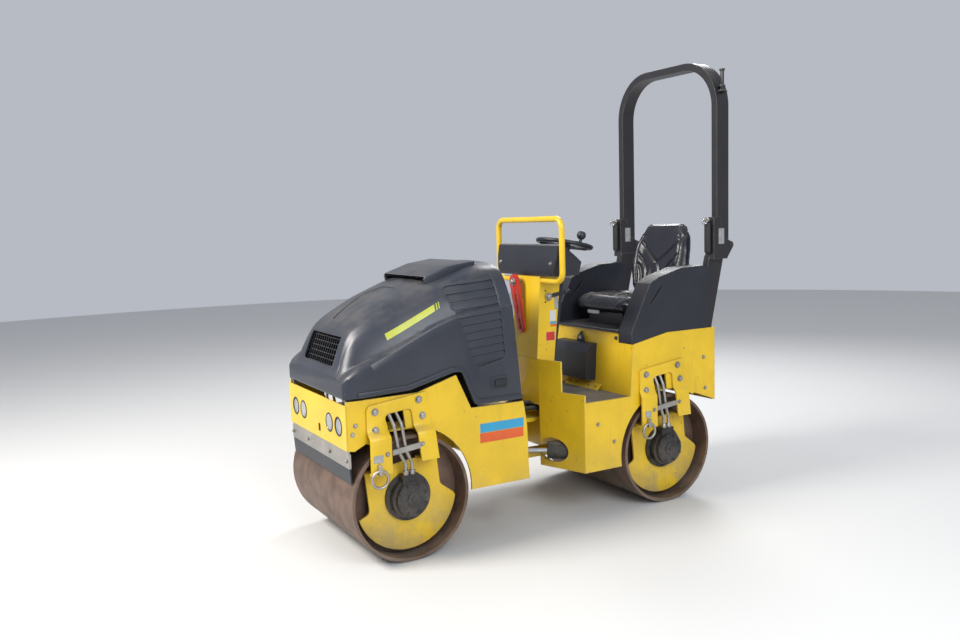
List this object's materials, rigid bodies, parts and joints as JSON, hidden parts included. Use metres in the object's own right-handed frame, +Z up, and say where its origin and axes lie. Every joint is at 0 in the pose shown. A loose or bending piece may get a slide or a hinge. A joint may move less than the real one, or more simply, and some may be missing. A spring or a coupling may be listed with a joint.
{
  "type": "tandem road roller",
  "caption": "Small ride-on tandem road roller: steel drums front and rear, pivot steering, tilting hood, open platform with seat and fold-down roll bar.",
  "frame": {"origin": "centre of the whole machine in plan, on the ground under the drums", "axes": "+X forward to the hood end, +Y to the left side, +Z up"},
  "size_m": [2.258, 0.864, 2.346],
  "materials": {
    "yellow_paint": "glossy enamel, chipped and dusty",
    "black_paint": "black semi-gloss enamel",
    "drum_steel": "rolled steel with a brown film",
    "bare_steel": "bare and dull",
    "chrome": "polished",
    "hood_plastic": "moulded, slightly glossy",
    "black_plastic": "grained",
    "vinyl": "black vinyl",
    "floor": "worn anti-slip floor",
    "dark_iron": "oily black cast",
    "lens": "clear lamp lens",
    "rubber": "ribbed"
  },
  "bodies": {
    "rear_frame": {"arm_pod_left": "black_plastic", "arm_pod_right": "black_plastic", "console": "yellow_paint", "console_back": "black_plastic", "console_cowl": "black_plastic", "cylinder_mount": "yellow_paint", "document_box": "black_plastic", "handrail": "yellow_paint", "platform": "floor", "rear_brackets": "yellow_paint", "rear_frame": "yellow_paint", "rear_motors": "dark_iron", "rear_pipes": "bare_steel", "rear_support_plates": "yellow_paint", "rops_posts": "black_paint", "seat_back": "vinyl", "seat_base": "black_paint", "seat_cushion": "vinyl", "seat_deck": "black_plastic", "steering_column": "black_plastic"},
    "yoke": {"hitch_yoke": "dark_iron"},
    "front_frame": {"front_frame": "yellow_paint", "front_panel": "yellow_paint", "lamps": "lens", "lamp_rings": "black_plastic", "front_brackets": "yellow_paint", "front_support_plates": "yellow_paint", "front_motors": "dark_iron", "front_pipes": "bare_steel", "front_scraper_bar": "bare_steel", "front_scraper_blade": "black_plastic", "engine": "dark_iron", "hood_hinges": "bare_steel"},
    "front_drum": {"front_drum": "drum_steel"},
    "rear_drum": {"rear_drum": "drum_steel"},
    "hood": {"hood": "hood_plastic"},
    "steering_wheel": {"steering_wheel": "black_plastic"},
    "rops_hoop": {"rops_hoop": "black_paint"},
    "steering_cylinder": {"steering_cylinder": "black_paint", "cylinder_boot": "rubber"},
    "steering_rod": {"steering_rod": "chrome"}
  },
  "joints": [
    {"name": "steer", "type": "hinge", "parent": "rear_frame", "child": "yoke", "pos_m": [0.079, 0, 0.375], "axis": [0, 0, 1], "range_deg": [-30, 30]},
    {"name": "oscillation", "type": "hinge", "parent": "yoke", "child": "front_frame", "pos_m": [0.079, 0, 0.375], "axis": [1, 0, 0], "range_deg": [-8, 8]},
    {"name": "front_drum_roll", "type": "hinge", "parent": "front_frame", "child": "front_drum", "pos_m": [0.834, 0, 0.29], "axis": [0, 1, 0], "continuous": true},
    {"name": "rear_drum_roll", "type": "hinge", "parent": "rear_frame", "child": "rear_drum", "pos_m": [-0.676, 0, 0.29], "axis": [0, 1, 0], "continuous": true},
    {"name": "hood_tilt", "type": "hinge", "parent": "front_frame", "child": "hood", "pos_m": [1.107, 0, 0.764], "axis": [0, 1, 0], "range_deg": [0, 65]},
    {"name": "rops_fold", "type": "hinge", "parent": "rear_frame", "child": "rops_hoop", "pos_m": [-1.109, 0, 1.353], "axis": [0, -1, 0], "range_deg": [0, 105]},
    {"name": "wheel_turn", "type": "hinge", "parent": "rear_frame", "child": "steering_wheel", "pos_m": [-0.311, 0, 1.386], "axis": [-0.2079, 0, 0.9781], "continuous": true},
    {"name": "cylinder_swing", "type": "hinge", "parent": "rear_frame", "child": "steering_cylinder", "pos_m": [-0.221, 0.31, 0.335], "axis": [0, 0, 1], "range_deg": [-6, 6]},
    {"name": "rod_slide", "type": "slide", "parent": "steering_cylinder", "child": "steering_rod", "axis": [0.8431, -0.5377, 0], "range_m": [-0.055, 0.055]}
  ],
  "couplings": [
    {"joint": "cylinder_swing", "follows": "steer", "ratio": -0.1366},
    {"joint": "rod_slide", "follows": "steer", "m_per_rad": -0.09355}
  ]
}
